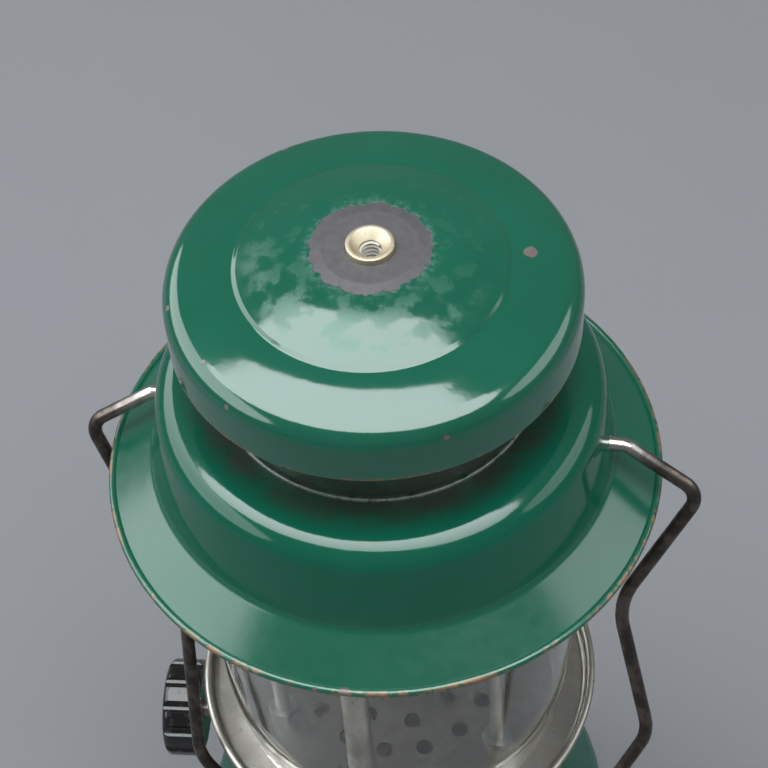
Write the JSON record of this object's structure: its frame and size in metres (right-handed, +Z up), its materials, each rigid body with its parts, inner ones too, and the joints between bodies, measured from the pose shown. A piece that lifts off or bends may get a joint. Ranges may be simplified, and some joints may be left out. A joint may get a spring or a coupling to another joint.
{
  "type": "pressure lantern",
  "caption": "Liquid-fuel pressure lantern: pumped fount, valve and mantle burner in a glass globe, under a stepped enamelled ventilator with a swinging wire bail.",
  "frame": {"origin": "middle of the fount's flat underside", "axes": "+Z up along the lamp's axis, X through the two bail holes, -Y to the front where the pump knob points"},
  "size_m": [0.1698, 0.1773, 0.338],
  "materials": {
    "green_enamel": "glossy fired enamel, chipped at the edges and bare round the centre hole",
    "fount_paint": "satin green paint",
    "nickel_plate": "dulled nickel plating",
    "plain_steel": "plain turned or drawn steel",
    "bail_wire": "browned steel wire, worn bright at its ends",
    "brass": "plain turned brass, dulled",
    "burner_iron": "heat-darkened casting",
    "globe_glass": "clear glass",
    "black_knob": "black moulded plastic",
    "mantle_cloth": "white knitted mantle",
    "pump_leather": "oiled leather",
    "gasket_rubber": "black rubber"
  },
  "bodies": {
    "lantern": {"ventilator_body": "green_enamel", "ventilator_cap": "green_enamel", "ventilator_drum": "green_enamel", "fount_shell": "fount_paint", "fount_bottom": "fount_paint", "pump_cap": "nickel_plate", "collar_band": "nickel_plate", "base_plate": "nickel_plate", "generator_tube": "nickel_plate", "collar_ring": "plain_steel", "collar_screws": "plain_steel", "frame_rod_left": "plain_steel", "frame_rod_right": "plain_steel", "frame_rod_rear": "plain_steel", "heat_baffle": "plain_steel", "plate_nuts": "plain_steel", "baffle_nuts": "plain_steel", "mixing_tube": "plain_steel", "support_post": "plain_steel", "fount_bung": "brass", "fuel_pickup_tube": "brass", "filler_neck": "brass", "pump_barrel": "brass", "pump_boss": "brass", "pump_check_valve": "brass", "valve_body": "brass", "chamber_plug": "brass", "packing_nut": "brass", "generator_nut": "brass", "gas_tip": "brass", "cleaning_lever_nut": "brass", "vent_bushing": "brass", "burner_manifold": "burner_iron", "burner_cap": "burner_iron", "globe": "globe_glass", "mantle": "mantle_cloth", "mantle_tie": "mantle_cloth"},
    "bail": {"bail": "bail_wire"},
    "valve_wheel_set": {"valve_stem": "plain_steel", "valve_wheel": "black_knob", "wheel_screw": "plain_steel"},
    "tip_cleaner_lever": {"cleaning_lever": "plain_steel"},
    "tip_cleaner_needle": {"cleaning_needle": "plain_steel"},
    "pump_air_stem": {"pump_air_stem": "plain_steel"},
    "pump_plunger": {"pump_rod": "plain_steel", "pump_cup": "pump_leather", "pump_cup_nut": "plain_steel", "pump_knob": "black_knob"},
    "filler_cap_set": {"filler_cap": "nickel_plate", "filler_gasket": "gasket_rubber"}
  },
  "joints": [
    {"name": "bail_swing", "type": "hinge", "parent": "lantern", "child": "bail", "pos_m": [0.001, 0, 0.269], "axis": [-1, 0, 0], "range_deg": [0, 325]},
    {"name": "valve_turn", "type": "hinge", "parent": "lantern", "child": "valve_wheel_set", "pos_m": [-0.07161, -0.00753, 0.108], "axis": [-0.9945, -0.1045, 0], "range_deg": [0, 360]},
    {"name": "tip_cleaner_turn", "type": "hinge", "parent": "lantern", "child": "tip_cleaner_lever", "pos_m": [-0.006, -0.05, 0.104], "axis": [0, -1, 0], "range_deg": [0, 60]},
    {"name": "needle_lift", "type": "slide", "parent": "lantern", "child": "tip_cleaner_needle", "axis": [0, 0, 1], "range_m": [0, 0.0025]},
    {"name": "pump_knob_turn", "type": "hinge", "parent": "lantern", "child": "pump_air_stem", "pos_m": [0.03, -0.05, 0.032], "axis": [0, -1, 0], "range_deg": [0, 360]},
    {"name": "pump_stroke", "type": "slide", "parent": "pump_air_stem", "child": "pump_plunger", "axis": [0, -1, 0], "range_m": [0, 0.06]},
    {"name": "filler_cap_turn", "type": "hinge", "parent": "lantern", "child": "filler_cap_set", "pos_m": [-0.04101, -0.04101, 0.09], "axis": [0, 0, 1], "range_deg": [0, 360]}
  ],
  "couplings": [
    {"joint": "needle_lift", "follows": "tip_cleaner_turn", "m_per_rad": 0.002387}
  ]
}
